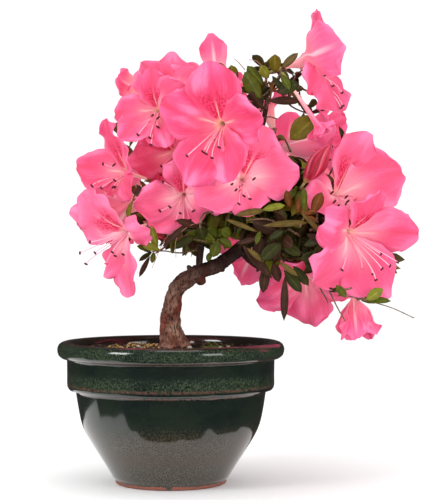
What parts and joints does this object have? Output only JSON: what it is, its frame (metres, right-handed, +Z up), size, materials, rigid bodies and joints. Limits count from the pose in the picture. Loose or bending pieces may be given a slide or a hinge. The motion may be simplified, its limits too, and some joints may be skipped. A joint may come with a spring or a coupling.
{
  "type": "azalea bonsai in flower in a glazed bowl pot",
  "caption": "Potted azalea bonsai in full pink flower, with a leaning bare trunk over a round dark green glazed pot filled with soil.",
  "frame": {"origin": "centre of the pot's flat underside", "axes": "+Z up; seen from -Y the trunk leans to +X"},
  "size_m": [0.2373, 0.192, 0.3157],
  "materials": {
    "dark_green_glaze": "gloss",
    "potting_soil": "matte",
    "bark": "matte",
    "pink_blossom_and_leaves": "matte"
  },
  "bodies": {
    "root": {"pot": "dark_green_glaze", "soil": "potting_soil", "trunk": "bark", "leader_bough": "bark", "crown_left_bough": "bark", "far_left_bough": "bark", "front_bough": "bark", "right_bough": "bark", "low_right_bough": "bark", "hanging_bough": "bark", "back_right_bough": "bark", "back_left_bough": "bark", "crown_left_mass": "pink_blossom_and_leaves", "far_left_mass": "pink_blossom_and_leaves", "front_mass": "pink_blossom_and_leaves", "top_mass": "pink_blossom_and_leaves", "right_mass": "pink_blossom_and_leaves", "low_right_mass": "pink_blossom_and_leaves", "hanging_mass": "pink_blossom_and_leaves", "back_left_mass": "pink_blossom_and_leaves", "back_right_mass": "pink_blossom_and_leaves"}
  },
  "joints": []
}
